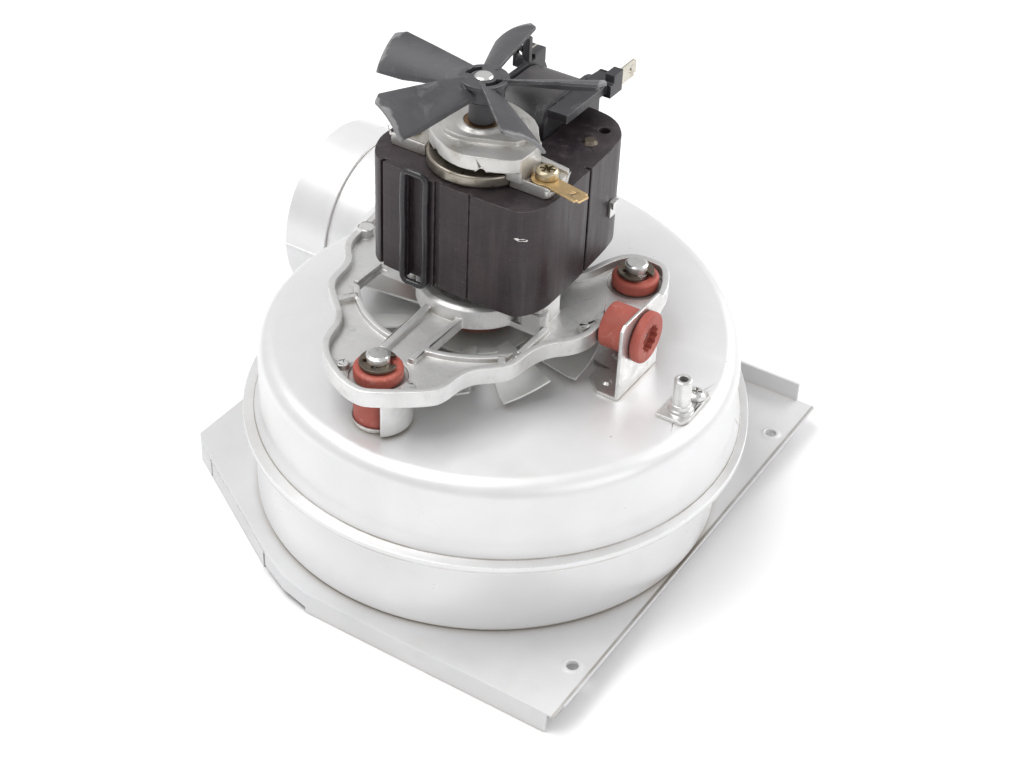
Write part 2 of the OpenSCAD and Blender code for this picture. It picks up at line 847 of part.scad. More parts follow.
// A flat foot under one screw, with a raised rib along its front and rear edges.
module bridge_foot(s) {
    x0 = s * 12;
    x1 = s * (screw_x + 4.3);
    x2 = s * (screw_x + 3.4);
    front = -8.4;
    translate([0, 0, stack_top + fit])
        linear_extrude(3.2)
            polygon([[x0, front], [x2, front], [x1, front + 1], [x1, 4], [x2, 6], [x0, 9]]);
    translate([0, 0, stack_top + 3]) {
        linear_extrude(1) polygon([[x0, front], [x2, front], [x1, front + 0.8], [x0, front + 0.8]]);
        linear_extrude(1.4) polygon([[x0, 4.6], [x1, 3.6], [x2, 6], [x0, 9]]);
    }
}

bridge_lower = [
    [-14.5, -8.5], [-12, -11.4], [-7.2, -14.6], [-1.8, -17.1], [4.5, -17.8], [9.6, -16.1],
    [15.3, -13.6], [20.3, -10.6], [20.8, -8], [20.8, 2.4], [18, 5], [12.6, 13], [5, 17],
    [-3, 19.4], [-10, 16.4], [-16, 10], [-18, 2], [-17.4, -4]
];
bridge_upper = [
    [-9, -9.4], [-5, -10.8], [0.2, -10.7], [4.3, -8.8], [11, -6], [16.4, -3.4], [15.4, 3.6],
    [10, 10.6], [2, 14.4], [-6, 13], [-12, 7], [-12.6, -3]
];
bridge_top = stack_top + 12;

// The angular bearing housing: a deep tier with pillars on the feet, a low tier and the boss.
module bridge_tiers() {
    tier_h = 5;
    intersection() {
        translate([0, 0, stack_top + 3]) linear_extrude(9) polygon(cut(bridge_lower));
        union() {
            translate([-30, -30, bridge_top - tier_h]) cube([60, 60, tier_h]);
            for (s = [-1, 1]) translate([s * 21 - 7, -9.6, stack_top]) cube([14, 17, 12]);
        }
    }
    translate([0, 0, bridge_top - 0.1]) linear_extrude(1.7) polygon(cut(bridge_upper));
    translate([0, 0, bridge_top + 1.5]) cylinder(r1 = 8.2, r2 = 6.6, h = 1.3);
}

module upper_bridge() {
    color([0.62, 0.61, 0.58])
    difference() {
        union() {
            for (s = [-1, 1]) bridge_foot(s);
            bridge_tiers();
        }
        translate([0, 0, bridge_top - 5.1]) cylinder(r1 = 12, r2 = 6 + fit, h = 1.6);
        translate([0, 0, stack_top]) cylinder(r = 17.8, h = 4.5);
        cylinder(r = 6 + fit, h = 200);
        translate([7, 9, bridge_top - 1]) rotate([0, 0, -62]) cube([5, 1.4, 5]);
        for (x = [-8, 10])
            translate([x, -20, bridge_top - 5.4]) rotate([-90, 0, 0]) cylinder(r = 1.3, h = 9);
        for (s = [-1, 1]) {
            translate([s * screw_x, screw_y, stack_top - 1]) cylinder(r = 1.9, h = 20);
            translate([s * screw_x, screw_y, stack_top + 3.25]) cylinder(r = 4.6, h = 20);
        }
    }
}

module upper_bush() {
    color([0.66, 0.52, 0.36]) bush(136.5, 8);
}

module bridge_screws() {
    color([0.60, 0.52, 0.33])
    for (s = [-1, 1])
        translate([s * screw_x, screw_y, stack_top + (s > 0 ? 4.15 : 3.3)])
            difference() {
                union() {
                    translate([0, 0, -50]) cylinder(r = 1.85, h = 51);
                    cylinder(r = 3.7, h = 2.2);
                    translate([0, 0, 2.2]) cylinder(r1 = 3.7, r2 = 2.9, h = 0.7);
                }
                for (a = [0, 60, 120])
                    rotate([0, 0, a + 15]) translate([-2.4, -0.5, 1.1]) cube([4.8, 1, 3]);
            }
}

module earth_tab() {
    color([0.72, 0.56, 0.26])
    translate([screw_x, screw_y, stack_top + 3.3])
        rotate([0, 0, earth_turn])
            difference() {
                translate([0, -1.2, 0]) {
                    cylinder(r = 4.3, h = earth_t);
                    translate([0, -3.15, 0]) cube([15.4, 6.3, earth_t]);
                    translate([15.3, -2.2, 0]) cube([1.3, 4.4, earth_t]);
                }
                translate([0, 0, -1]) cylinder(r = 1.95, h = 3);
                translate([12.2, -1.2, -1]) cylinder(r = 0.85, h = 3);
            }
}

module stack_clip() {
    color([0.75, 0.76, 0.78])
    translate([30.5, 31, stack_z + 13]) {
        cube([0.8, 4, 6]);
        translate([0, 0, 5.2]) cube([1.8, 4, 0.8]);
        translate([1, 0, 3.6]) cube([0.8, 4, 2]);
    }
}

// Curved and pitched blades on a two-step hub that is pushed on to the shaft.
module top_fan() {
    mid_z = 159;
    camber_r = 19;
    color([0.24, 0.25, 0.27])
    difference() {
        union() {
            translate([0, 0, shaft_top - 16 + 0.6]) cylinder(r = 4.5, h = 8);
            translate([0, 0, 151.5]) cylinder(r1 = 5, r2 = 6.6, h = 2);
            translate([0, 0, 153.4]) cylinder(r = 6.6, h = 5.2);
            translate([0, 0, 158.5]) cylinder(r = 7.9, h = 1.4);
            for (i = [0 : top_fan_n - 1])
                rotate([0, 0, -37 + i * 360 / top_fan_n])
                    intersection() {
                        translate([0, 0, mid_z])
                            rotate([-30, 0, 0])
                                translate([0, 0, -camber_r])
                                    rotate([0, 90, 0]) tube(camber_r, camber_r - 1.2, 40);
                        translate([0, 0, mid_z - 7])
                            linear_extrude(14)
                                polygon([[5, -3], [top_fan_r - 3, -7.4], [top_fan_r, -5],
                                         [top_fan_r - 1, 6.6], [5, 3.4]]);
                    }
        }
        cylinder(r = shaft_r + 0.01, h = 200);
        for (a = [-20, 160])
            rotate([0, 0, a])
                translate([0, 0, 157])
                    intersection() {
                        tube(6.3, 4.3, 4);
                        sector(9, -32, 32, 4);
                    }
    }
}

// ---------- side stop ----------

module side_bracket() {
    width = 26;
    y0 = -6.2;
    color([0.80, 0.80, 0.80])
    difference() {
        union() {
            translate([bracket_x, y0, case_top + fit])
                rotate([90, 0, 90])
                    linear_extrude(1.2)
                        polygon([[0, 0], [width, 0], [width, 27], [width - 2, 29], [2, 29], [0, 27]]);
            translate([0, 0, case_top + fit])
                linear_extrude(1.2)
                    polygon([[58, y0], [51, y0], [45, -0.2], [45, 5], [49, 6.6], [41.6, 8],
                             [41.6, 14.6], [46.5, 19.8], [58, 19.8]]);
        }
        translate([bracket_x - 1, side_axis.x, side_axis.y]) rotate([0, 90, 0]) cylinder(r = 6, h = 4);
    }
}

module bracket_welds() {
    color([0.74, 0.74, 0.74])
    for (p = [[51.6, -0.6], [47.4, 13.6]])
        translate([p.x, p.y, case_top + 1.2 + 2 * fit])
            cylinder(r1 = 1.8, r2 = 1, h = 0.8);
}

module side_grommet() {
    color([0.76, 0.29, 0.22])
    translate([46.8, side_axis.x, side_axis.y])
        rotate([0, 90, 0])
            difference() {
                union() {
                    soft_ring(7.7, 0, bracket_x - 46.8 - fit, 0.6);
                    cylinder(r = 5.95, h = 14);
                    translate([0, 0, bracket_x + 1.2 + fit - 46.8]) soft_ring(8.8, 0, 3.4, 1);
                }
                translate([0, 0, -1]) cylinder(r = 3.25, h = 13.9);
                translate([0, 0, 12.8])
                    linear_extrude(6)
                        for (a = [0, 30, 60]) rotate(a) square([7.4, 7.4], center = true);
            }
}

// ---------- pressure tapping ----------

module pressure_nipple() {
    color([0.80, 0.80, 0.79])
    translate([nipple.x, nipple.y, case_top + fit])
        difference() {
            union() {
                linear_extrude(1.4)
                    polygon([[-5.6, -6.4], [3.6, -6.4], [5, -4], [4.6, 12], [2.8, 13.2],
                             [-2.4, 13.2], [-5.6, 6]]);
                cylinder(r1 = 4.4, r2 = 4, h = 2.4);
                cylinder(r = 3.2, h = 4.1);
                cylinder(r = 3, h = 13.1);
                translate([0, 0, 13.1]) cylinder(r1 = 3, r2 = 2.7, h = 0.5);
            }
            translate([0, 0, -1]) cylinder(r = 1.5, h = 20);
            translate([nipple_screw_at.x - nipple.x, nipple_screw_at.y - nipple.y, -1])
                cylinder(r = 1.75, h = 5);
        }
}

module nipple_screw() {
    color([0.78, 0.78, 0.77])
    translate([nipple_screw_at.x, nipple_screw_at.y, case_top + 1.4 + 2 * fit])
        difference() {
            union() {
                translate([0, 0, -6]) cylinder(r = 1.7, h = 6.2);
                cylinder(r1 = 3.4, r2 = 3.2, h = 1.2);
                translate([0, 0, 1.2]) cylinder(r1 = 3.2, r2 = 2, h = 0.9);
            }
            for (a = [20, 110]) rotate([0, 0, a]) translate([-1.9, -0.4, 1]) cube([3.8, 0.8, 2]);
        }
}

base_plate();
lower_casing();
upper_casing();
outlet_collar();
inlet_ring();
inlet_rivets();
impeller_disc();
impeller_blades();
impeller_shroud();
impeller_hub();
motor_shaft();
cooling_fan();
cooling_fan_hub();
mounting_pins();
cup_washers();
grommets();
e_clips();
motor_plate();
lower_bush();
bearing_cap();
rotor_core();
rotor_end_rings();
stator_stack();
shading_rings();
stack_rivets();
coil_winding();
coil_bobbin();
coil_terminals();
bearing_ring();
upper_bridge();
upper_bush();
bridge_screws();
earth_tab();
top_fan();
side_bracket();
side_grommet();
bracket_welds();
pressure_nipple();
nipple_screw();
stack_clip();
seal_plate();
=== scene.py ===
import math

import bmesh
import bpy
from mathutils import Matrix, Vector


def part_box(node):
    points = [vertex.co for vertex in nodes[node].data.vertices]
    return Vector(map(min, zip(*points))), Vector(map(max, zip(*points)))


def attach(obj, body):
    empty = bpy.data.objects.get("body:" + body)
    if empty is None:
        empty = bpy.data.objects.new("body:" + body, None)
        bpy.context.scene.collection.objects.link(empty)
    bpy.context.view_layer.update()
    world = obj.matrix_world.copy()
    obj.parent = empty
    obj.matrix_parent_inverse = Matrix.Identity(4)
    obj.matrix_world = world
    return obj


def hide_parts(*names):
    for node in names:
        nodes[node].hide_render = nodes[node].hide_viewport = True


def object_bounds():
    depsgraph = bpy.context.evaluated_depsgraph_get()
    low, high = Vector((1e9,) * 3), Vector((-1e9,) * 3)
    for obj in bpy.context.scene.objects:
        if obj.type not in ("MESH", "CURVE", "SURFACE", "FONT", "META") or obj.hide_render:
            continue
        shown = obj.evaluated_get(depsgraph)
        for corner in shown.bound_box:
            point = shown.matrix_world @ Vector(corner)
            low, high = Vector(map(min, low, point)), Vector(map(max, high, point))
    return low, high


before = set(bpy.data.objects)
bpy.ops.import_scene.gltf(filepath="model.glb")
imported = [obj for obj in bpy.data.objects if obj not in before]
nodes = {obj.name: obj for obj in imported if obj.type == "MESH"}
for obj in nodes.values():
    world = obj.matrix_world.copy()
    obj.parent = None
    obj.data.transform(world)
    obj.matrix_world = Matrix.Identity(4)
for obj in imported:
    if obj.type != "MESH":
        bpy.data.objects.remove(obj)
cad_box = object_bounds()
scene = bpy.context.scene
MM = 0.001

# ---------------------------------------------------------------- camera and light

CAMERA_AT = Vector((0.27378, -0.43434, 0.43672))

camera = bpy.data.objects.new("camera", bpy.data.cameras.new("camera"))
scene.collection.objects.link(camera)
scene.camera = camera
camera.data.sensor_width = 36
camera.data.lens = 65.798
camera.data.clip_start, camera.data.clip_end = 0.05, 20
right = Vector((0.84359756, 0.53568069, 0.03727394))
up = Vector((-0.35244338, 0.49998814, 0.79107239))
back = Vector((0.40512568, -0.68048369, 0.61058589))
camera.matrix_world = Matrix.Translation(CAMERA_AT) @ Matrix((right, up, back)).transposed().to_4x4()


def softbox(name, place, target, size, power):
    """A plain white area light at place that faces target."""
    data = bpy.data.lights.new(name, "AREA")
    data.shape = "RECTANGLE"
    data.size, data.size_y = size
    data.energy = power
    made = bpy.data.objects.new(name, data)
    scene.collection.objects.link(made)
    made.location = place
    made.rotation_mode = "QUATERNION"
    made.rotation_quaternion = (Vector(target) - Vector(place)).to_track_quat("-Z", "Y")


middle = (cad_box[0] + cad_box[1]) / 2
softbox("key_softbox", (-0.35, -0.25, 1.05), middle, (0.9, 0.7), 9.5)
softbox("back_softbox", (0.5, 0.95, 0.8), middle, (1.1, 0.6), 7.5)
softbox("side_softbox", (1.05, -0.25, 0.55), middle, (0.7, 0.7), 2.0)

world = bpy.data.worlds.new("studio")
scene.world = world
world.use_nodes = True
world.node_tree.nodes["Background"].inputs["Color"].default_value = (1, 1, 1, 1)
world.node_tree.nodes["Background"].inputs["Strength"].default_value = 0.555
scene.view_settings.view_transform = "Standard"
scene.view_settings.exposure = 0.0

# ---------------------------------------------------------------- materials


class Shader:
    """A Principled material with short calls for the node chains that the finishes share."""

    def __init__(self, name, **fixed):
        self.mat = bpy.data.materials.new(name)
        self.mat.use_nodes = True
        self.tree = self.mat.node_tree
        self.out = self.tree.nodes["Principled BSDF"]
        for key, value in fixed.items():
            self.out.inputs[key.replace("_", " ")].default_value = value
        self.place = self.add("ShaderNodeTexCoord").outputs["Object"]

    def add(self, kind, **settings):
        """A new node of this kind with its settings."""
        made = self.tree.nodes.new(kind)
        for key, value in settings.items():
            setattr(made, key, value)
        return made

    def put(self, socket, value):
        """Links value to the socket if it is an output, and stores it there if it is a constant."""
        if isinstance(value, bpy.types.NodeSocket):
            self.tree.links.new(value, socket)
        elif isinstance(value, tuple) and len(value) == 3 and socket.type == "RGBA":
            socket.default_value = (*value, 1)
        else:
            socket.default_value = value

    def stretched(self, scale):
        """Object coordinates with a scale of their own on each axis."""
        made = self.add("ShaderNodeMapping")
        self.put(made.inputs["Vector"], self.place)
        made.inputs["Scale"].default_value = scale
        return made.outputs["Vector"]

    def noise(self, scale, detail=3, rough=0.55, vector=None, distort=0.0):
        made = self.add("ShaderNodeTexNoise")
        self.put(made.inputs["Vector"], vector or self.place)
        settings = {"Scale": scale, "Detail": detail, "Roughness": rough, "Distortion": distort}
        for key, value in settings.items():
            made.inputs[key].default_value = value
        return made.outputs["Fac"]

    def voronoi(self, scale):
        """Distance to the nearest of the scattered points."""
        made = self.add("ShaderNodeTexVoronoi", feature="F1")
        self.put(made.inputs["Vector"], self.place)
        made.inputs["Scale"].default_value = scale
        return made.outputs["Distance"]

    def span(self, value, low, high, to_low=0.0, to_high=1.0):
        """Value mapped from low..high to to_low..to_high, and held at the ends."""
        made = self.add("ShaderNodeMapRange")
        made.clamp = True
        self.put(made.inputs["Value"], value)
        limits = {"From Min": low, "From Max": high, "To Min": to_low, "To Max": to_high}
        for key, number in limits.items():
            made.inputs[key].default_value = number
        return made.outputs["Result"]

    def math(self, kind, a, b=0.0):
        made = self.add("ShaderNodeMath", operation=kind)
        self.put(made.inputs[0], a)
        self.put(made.inputs[1], b)
        return made.outputs[0]

    def mix(self, amount, a, b):
        made = self.add("ShaderNodeMix", data_type="RGBA")
        self.put(made.inputs["Factor"], amount)
        self.put(made.inputs["A"], a)
        self.put(made.inputs["B"], b)
        return made.outputs["Result"]

    def reach(self):
        """Distance from the shaft axis."""
        squares = [self.math("POWER", self.axis(letter), 2.0) for letter in "XY"]
        return self.math("SQRT", self.math("ADD", *squares))

    def axis(self, letter):
        made = self.add("ShaderNodeSeparateXYZ")
        self.put(made.inputs[0], self.place)
        return made.outputs[letter]

    def worn_edge(self, radius):
        """0 on faces and 1 on sharp edges, broken up by noise."""
        bevel = self.add("ShaderNodeBevel", samples=4)
        bevel.inputs["Radius"].default_value = radius
        plain = self.add("ShaderNodeNewGeometry").outputs["Normal"]
        dot = self.add("ShaderNodeVectorMath", operation="DOT_PRODUCT")
        self.put(dot.inputs[0], bevel.outputs["Normal"])
        self.put(dot.inputs[1], plain)
        edge = self.span(dot.outputs["Value"], 0.99, 0.86)
        return self.math("MULTIPLY", edge, self.span(self.noise(260, 4), 0.38, 0.6))

    def crevice_shade_and_dirt(self, distance):
        """Ambient occlusion mask: 0 in the open and 1 in corners and gaps, where the makers paint shade
        and dirt.
        """
        made = self.add("ShaderNodeAmbientOcclusion", samples=6)
        made.inputs["Distance"].default_value = distance
        return self.span(made.outputs["AO"], 0.75, 0.3)

    def bump(self, height, strength, distance):
        made = self.add("ShaderNodeBump")
        made.inputs["Strength"].default_value = strength
        made.inputs["Distance"].default_value = distance
        self.put(made.inputs["Height"], height)
        self.put(self.out.inputs["Normal"], made.outputs["Normal"])

    def finish(self, colour, roughness):
        """Plugs in the two last values and returns the material."""
        self.put(self.out.inputs["Base Color"], colour)
        self.put(self.out.inputs["Roughness"], roughness)
        return self.mat


def sheet_metal(name, colour, shade, metallic, rough, stain_and_shade_tint, stain_amount, corner_dirt_and_shade=0.5, bands=()):
    """Satin sheet: cloudy tone, fine grain, a few specks, dirt and painted shade in the corners, bright
    cut edges.

    Dirt also lies along the bands, and on the plate's lip a painted shadow. A band is (axis, middle,
    half width, amount) in metres.
    """
    s = Shader(name, Metallic=metallic)
    clouds = s.span(s.noise(24, 4), 0.32, 0.7)
    fine = s.noise(1500, 2)
    tone = s.mix(clouds, colour, shade)
    tone = s.mix(s.span(fine, 0.35, 0.75, 0.0, 0.16), tone, shade)
    smudge = s.math("MULTIPLY", s.span(s.noise(32, 3), 0.58, 0.8), stain_amount)
    tone = s.mix(smudge, tone, stain_and_shade_tint)
    specks = s.math("MULTIPLY", s.span(s.voronoi(110), 0.045, 0.02), s.span(s.noise(13, 2), 0.5, 0.62))
    tone = s.mix(s.math("MULTIPLY", specks, 0.75), tone, tuple(0.45 * c for c in stain_and_shade_tint))
    # Painted shade: the occlusion mask darkens corners and gaps toward the stain tint, together with
    # real dirt there.
    tone = s.mix(s.math("MULTIPLY", s.crevice_shade_and_dirt(0.004), corner_dirt_and_shade), tone, stain_and_shade_tint)
    for letter, centre, half, amount in bands:
        off = s.math("ABSOLUTE", s.math("SUBTRACT", s.axis(letter), centre))
        near = s.span(off, half, 0.35 * half)
        patchy = s.span(s.noise(34, 5, 0.7), 0.3, 0.62, 0.25, 1.0)
        # Band darkening: dirt along the casing seam, painted shadow along the plate's lip.
        band_grime_and_shadow = s.math("MULTIPLY", s.math("MULTIPLY", near, patchy), amount)
        tone = s.mix(band_grime_and_shadow, tone, tuple(0.62 * c for c in stain_and_shade_tint))
    worn = s.worn_edge(0.0006)
    bright = tuple(min(1, 1.12 * c) for c in colour)
    tone = s.mix(s.math("MULTIPLY", worn, 0.6), tone, bright)
    patch = s.span(s.noise(45, 5), 0.3, 0.7, rough - 0.05, rough + 0.08)
    patch = s.math("ADD", patch, s.span(fine, 0.3, 0.7, -0.03, 0.05))
    s.bump(s.math("ADD", s.math("MULTIPLY", fine, 0.3), s.noise(70, 3)), 0.12, 0.0002)
    return s.finish(tone, s.math("SUBTRACT", patch, s.math("MULTIPLY", worn, 0.1)))


def cast_metal(name, colour, shade, rough, stain_and_shade_tint, stain_amount):
    """Die-cast surface: pebbled skin, oily stains and painted shade in the corners, polished high
    edges.
    """
    s = Shader(name, Metallic=0.75)
    skin = s.noise(900, 4, 0.6)
    clouds = s.noise(55, 5, 0.6)
    tone = s.mix(s.span(clouds, 0.35, 0.68), colour, shade)
    tone = s.mix(s.span(skin, 0.5, 0.75, 0.0, 0.35), tone, shade)
    tone = s.mix(s.math("MULTIPLY", s.span(s.noise(90, 6, 0.7), 0.55, 0.75), stain_amount), tone, stain_and_shade_tint)
    # Painted shade: corners and gaps darkened toward the stain tint, together with the oily stains
    # there.
    tone = s.mix(s.math("MULTIPLY", s.crevice_shade_and_dirt(0.005), 0.6), tone, stain_and_shade_tint)
    worn = s.worn_edge(0.0006)
    tone = s.mix(s.math("MULTIPLY", worn, 0.7), tone, tuple(min(1, 1.25 * c) for c in colour))
    uneven = s.span(clouds, 0.3, 0.7, rough - 0.06, rough + 0.1)
    s.bump(s.math("ADD", s.math("MULTIPLY", skin, 0.6), s.noise(240, 3)), 0.3, 0.0003)
    return s.finish(tone, s.math("SUBTRACT", uneven, s.math("MULTIPLY", worn, 0.12)))


def turned_metal(name, colour, shade, metallic, rough, stain_and_shade_tint, stain_amount):
    """Small turned or pressed parts: rings round Z, smears, a few dark specks and painted shade in the
    corners.
    """
    s = Shader(name, Metallic=metallic)
    rings = s.noise(1.0, 2, 0.5, s.stretched((120, 120, 2600)))
    smear = s.noise(160, 5, 0.65)
    tone = s.mix(s.span(smear, 0.35, 0.7), colour, shade)
    tone = s.mix(s.math("MULTIPLY", s.span(s.noise(420, 5, 0.7), 0.56, 0.7), stain_amount), tone, stain_and_shade_tint)
    # Painted shade: corners and gaps darkened toward the stain tint.
    tone = s.mix(s.math("MULTIPLY", s.crevice_shade_and_dirt(0.002), 0.5), tone, stain_and_shade_tint)
    worn = s.worn_edge(0.0003)
    tone = s.mix(s.math("MULTIPLY", worn, 0.6), tone, tuple(min(1, 1.2 * c) for c in colour))
    s.bump(rings, 0.12, 0.0001)
    return s.finish(tone, s.span(smear, 0.3, 0.7, rough - 0.06, rough + 0.1))


def lacquered_stack():
    """Stamped sheets under dark lacquer: fine lines round the sides, brown tint, chipped edges."""
    s = Shader("lamination_stack", Metallic=0.2, Specular_IOR_Level=0.5)
    sheets = s.noise(1.0, 1, 0.5, s.stretched((60, 60, 3300)))
    runs = s.noise(1.0, 4, 0.6, s.stretched((420, 420, 26)))
    blot = s.noise(70, 5, 0.6)
    tone = s.mix(s.span(blot, 0.35, 0.7), (0.023, 0.017, 0.021), (0.043, 0.031, 0.034))
    tone = s.mix(s.span(runs, 0.5, 0.72, 0.0, 0.55), tone, (0.078, 0.062, 0.064))
    tone = s.mix(s.span(sheets, 0.5, 0.8, 0.0, 0.4), tone, (0.012, 0.010, 0.011))
    tone = s.mix(s.math("MULTIPLY", s.worn_edge(0.0004), 0.55), tone, (0.24, 0.22, 0.21))
    dust = s.span(s.noise(520, 6, 0.75), 0.62, 0.78, 0.0, 0.35)
    tone = s.mix(dust, tone, (0.26, 0.24, 0.23))
    s.bump(s.math("ADD", s.math("MULTIPLY", sheets, 0.7), s.math("MULTIPLY", runs, 0.5)), 0.35, 0.0003)
    return s.finish(tone, s.span(runs, 0.3, 0.7, 0.33, 0.55))


def moulded(name, colour, shade, worn_to, rough, wear, chalk, tips=None, gloss=0.5):
    """Moulded plastic or rubber: slight tone changes, chalky rubs, painted shade in corners, pale worn
    edges.

    Beyond the radius tips, in metres from the shaft axis, the surface is frayed and pale.
    """
    s = Shader(name, Specular_IOR_Level=gloss)
    clouds = s.noise(80, 4)
    fine = s.noise(1400, 3)
    tone = s.mix(s.span(clouds, 0.35, 0.68), colour, shade)
    rubbed = s.span(s.noise(130, 7, 0.75, None, 0.6), 0.58, 0.76, 0.0, chalk)
    tone = s.mix(rubbed, tone, worn_to)
    # Painted shade: corners and gaps darkened to a third of the surface colour.
    tone = s.mix(s.math("MULTIPLY", s.crevice_shade_and_dirt(0.003), 0.45), tone, tuple(0.35 * c for c in colour))
    tone = s.mix(s.math("MULTIPLY", s.worn_edge(0.0005), wear), tone, worn_to)
    if tips:
        frayed = s.math("ADD", s.reach(), s.span(s.noise(300, 3), 0.3, 0.7, -0.0011, 0.0011))
        tone = s.mix(s.span(frayed, tips, tips + 0.0009, 0.0, 0.5), tone, worn_to)
    s.bump(s.math("ADD", s.math("MULTIPLY", fine, 0.4), s.noise(220, 3)), 0.2, 0.0002)
    return s.finish(tone, s.span(clouds, 0.3, 0.7, rough - 0.06, rough + 0.08))


# Dirt in the seam between the casing halves, and a painted shadow along the plate's right lip.
SEAM_DIRT = [("Z", 0.0354, 0.00035, 0.9), ("Z", 0.0331, 0.0005, 0.5)]
LIP_PAINTED_SHADOW = [("X", 0.0856, 0.0008, 0.8)]
TIP_FRAY = 0.0357

# Each row: maker, colour, shade, then what that maker takes.
SLOT_FINISHES = {
    "coated_steel": (sheet_metal, (0.71, 0.71, 0.715), (0.62, 0.62, 0.625),
                     0.25, 0.42, (0.44, 0.38, 0.31), 0.2, 0.5, LIP_PAINTED_SHADOW),
    "casing_steel": (sheet_metal, (0.82, 0.82, 0.825), (0.75, 0.75, 0.755),
                     0.40, 0.34, (0.52, 0.46, 0.38), 0.12, 0.75, SEAM_DIRT),
    "sheet_aluminium": (sheet_metal, (0.78, 0.78, 0.78), (0.70, 0.70, 0.70),
                        0.7, 0.34, (0.40, 0.38, 0.34), 0.15),
    "galvanised_steel": (sheet_metal, (0.74, 0.75, 0.73), (0.62, 0.62, 0.60),
                         0.5, 0.36, (0.36, 0.33, 0.27), 0.5),
    "cast_aluminium": (cast_metal, (0.76, 0.76, 0.755), (0.64, 0.635, 0.625),
                       0.44, (0.27, 0.24, 0.20), 0.45),
    "bright_steel": (turned_metal, (0.76, 0.76, 0.75), (0.62, 0.62, 0.61),
                     0.85, 0.30, (0.28, 0.25, 0.21), 0.45),
    "spring_steel": (turned_metal, (0.22, 0.19, 0.15), (0.12, 0.10, 0.085),
                     0.9, 0.36, (0.30, 0.19, 0.10), 0.7),
    "passivated_steel": (turned_metal, (0.62, 0.54, 0.38), (0.48, 0.41, 0.28),
                         0.9, 0.34, (0.14, 0.10, 0.06), 0.6),
    "sintered_bronze": (turned_metal, (0.38, 0.24, 0.13), (0.26, 0.16, 0.09),
                        0.9, 0.45, (0.10, 0.06, 0.03), 0.6),
    "brass": (turned_metal, (0.76, 0.56, 0.31), (0.62, 0.43, 0.20),
              0.85, 0.38, (0.34, 0.20, 0.09), 0.5),
    "rotor_steel": (turned_metal, (0.30, 0.30, 0.30), (0.20, 0.20, 0.20),
                    0.9, 0.45, (0.16, 0.10, 0.07), 0.5),
    "silicone_rubber": (moulded, (0.47, 0.112, 0.080), (0.37, 0.080, 0.058),
                        (0.66, 0.36, 0.30), 0.55, 0.5, 0.62),
    "black_plastic": (moulded, (0.020, 0.019, 0.022), (0.034, 0.032, 0.036),
                      (0.24, 0.23, 0.23), 0.36, 0.5, 0.35),
    "grey_plastic": (moulded, (0.050, 0.049, 0.053), (0.074, 0.073, 0.078),
                     (0.34, 0.335, 0.34), 0.46, 0.8, 0.3, TIP_FRAY, 0.4),
    "wound_wire": (moulded, (0.056, 0.053, 0.056), (0.088, 0.084, 0.086),
                   (0.34, 0.33, 0.33), 0.38, 0.5, 0.8),
    "felt": (moulded, (0.20, 0.07, 0.05), (0.13, 0.05, 0.04),
             (0.30, 0.16, 0.12), 0.85, 0.3, 0.3),
}
# Nodes whose finish differs from the rest of their slot, with the material's name.
NODE_FINISHES = {
    "bearing_ring": ("nickel_ring", turned_metal, (0.42, 0.385, 0.33), (0.29, 0.26, 0.22),
                     0.95, 0.36, (0.14, 0.11, 0.075), 0.7),
    "coil_terminals": ("tinned_blade", turned_metal, (0.66, 0.63, 0.56), (0.50, 0.46, 0.38),
                       0.85, 0.36, (0.26, 0.20, 0.12), 0.5),
    "shading_rings": ("lacquered_wire", moulded, (0.020, 0.019, 0.021), (0.032, 0.030, 0.033),
                      (0.20, 0.19, 0.19), 0.22, 0.3, 0.2),
    "outlet_collar": ("collar_steel", sheet_metal, (0.82, 0.82, 0.825), (0.75, 0.75, 0.755),
                      0.40, 0.34, (0.60, 0.56, 0.50), 0.12, 0.2),
    "upper_bridge": ("bridge_casting", cast_metal, (0.72, 0.71, 0.69), (0.58, 0.565, 0.54),
                     0.42, (0.28, 0.23, 0.16), 0.7),
}
finishes = {slot: make(slot, *values) for slot, (make, *values) in SLOT_FINISHES.items()}
finishes["lamination_steel"] = lacquered_stack()
own_finish = {node: make(name, *values) for node, (name, make, *values) in NODE_FINISHES.items()}

slot_of = {name: obj.data.materials[0].name.split(".")[0] for name, obj in nodes.items()}
for name, obj in nodes.items():
    obj.data.materials[0] = own_finish.get(name, finishes[slot_of[name]])

# ---------------------------------------------------------------- softened edges on the CAD nodes

SMOOTH_UP_TO = math.radians(32)
BEVEL_FROM = math.radians(34)
WELD_WITHIN = 0.002 * MM


